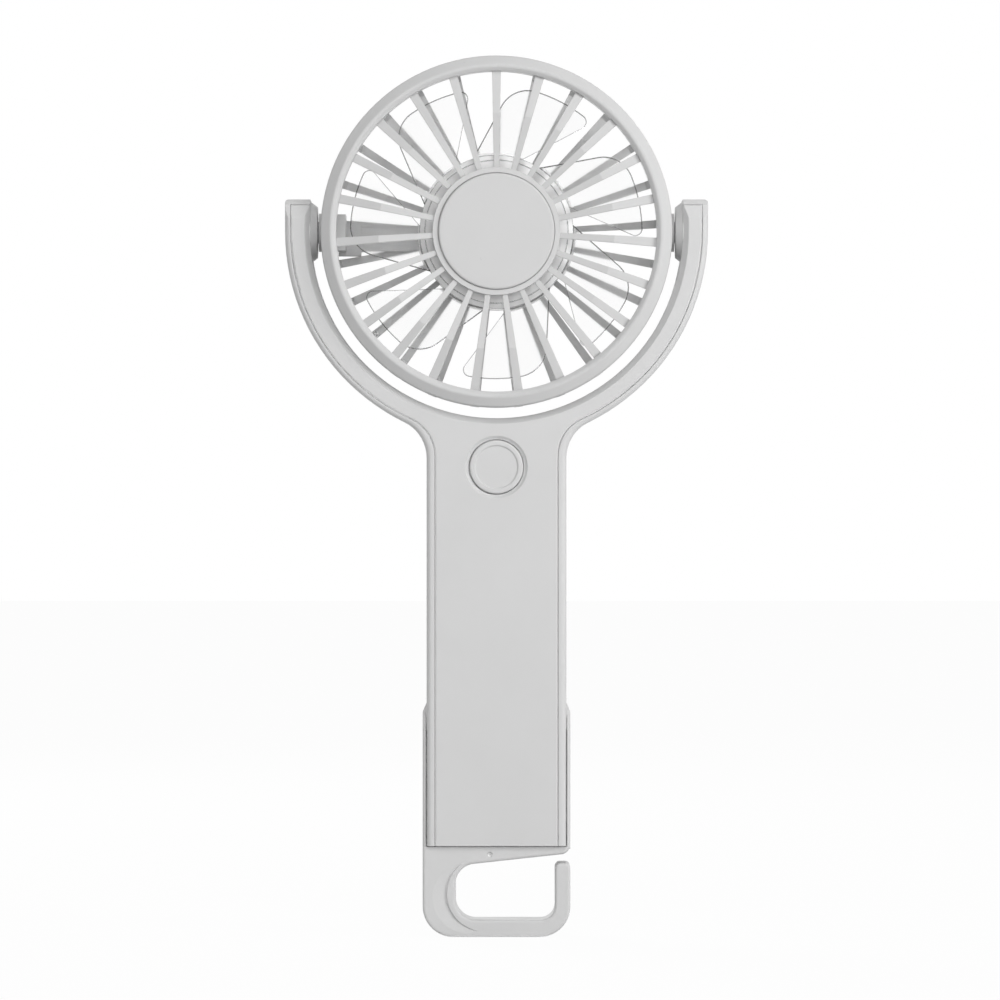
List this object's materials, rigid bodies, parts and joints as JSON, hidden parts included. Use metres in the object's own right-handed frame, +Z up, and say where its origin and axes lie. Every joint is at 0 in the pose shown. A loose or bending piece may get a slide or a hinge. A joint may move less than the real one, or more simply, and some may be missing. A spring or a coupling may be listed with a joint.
{
  "type": "handheld fan",
  "caption": "Battery handheld fan: round grilled head tilting in a fork, flat handle with a push button, and an open hook that swings back from the handle's foot.",
  "frame": {"origin": "middle of the plain part of the grip, half way through the handle's depth, in the middle plane", "axes": "+Z up along the handle towards the head, -Y the way the fan blows and faces, +X to the right seen from the front"},
  "size_m": [0.0962, 0.0254, 0.2004],
  "materials": {
    "shell_white": "satin moulded plastic",
    "blade_white": "smooth",
    "steel": "plain",
    "bronze": "sintered",
    "black_plastic": "matt",
    "board_green": "solder mask",
    "cell_foil": "foil pouch",
    "pad_foam": "foam",
    "lead_red": "insulation",
    "lead_black": "insulation",
    "magnet_black": "bonded magnet",
    "copper": "enamelled wire"
  },
  "bodies": {
    "handle": {"body_shell": "shell_white", "front_cover": "shell_white", "tact_switch": "steel", "circuit_board": "board_green", "board_chips": "black_plastic", "charge_socket": "steel", "charge_tongue": "black_plastic", "battery_cell": "cell_foil", "cell_board": "board_green", "battery_pad": "pad_foam", "battery_lead": "lead_red", "fork_lead": "lead_black", "hook_pins": "steel", "shell_screws": "steel", "tilt_washers": "steel"},
    "button": {"power_button": "shell_white", "switch_plunger": "black_plastic"},
    "hook": {"hook_frame": "shell_white"},
    "head": {"front_grille": "shell_white", "hub_cap": "shell_white", "rear_grille": "shell_white", "tilt_pins": "steel", "motor_lead": "lead_black", "sleeve_bearing": "bronze", "motor_board": "board_green", "stator_core": "steel", "stator_windings": "copper"},
    "rotor": {"impeller": "blade_white", "rotor_shaft": "steel", "shaft_clip": "black_plastic", "magnet_yoke": "steel", "magnet_ring": "magnet_black"}
  },
  "joints": [
    {"name": "head_tilt", "type": "hinge", "parent": "handle", "child": "head", "pos_m": [0, 0, 0.0794], "axis": [1, 0, 0], "range_deg": [-90, 90]},
    {"name": "impeller_spin", "type": "hinge", "parent": "head", "child": "rotor", "pos_m": [0, 0, 0.0794], "axis": [0, 1, 0], "continuous": true},
    {"name": "button_press", "type": "slide", "parent": "handle", "child": "button", "axis": [0, 1, 0], "range_m": [0, 0.0004], "stiffness_N_per_m": 3000, "springref_m": -0.0001},
    {"name": "hook_swing", "type": "hinge", "parent": "handle", "child": "hook", "pos_m": [0, 0, -0.0315], "axis": [1, 0, 0], "range_deg": [0, 90]}
  ]
}
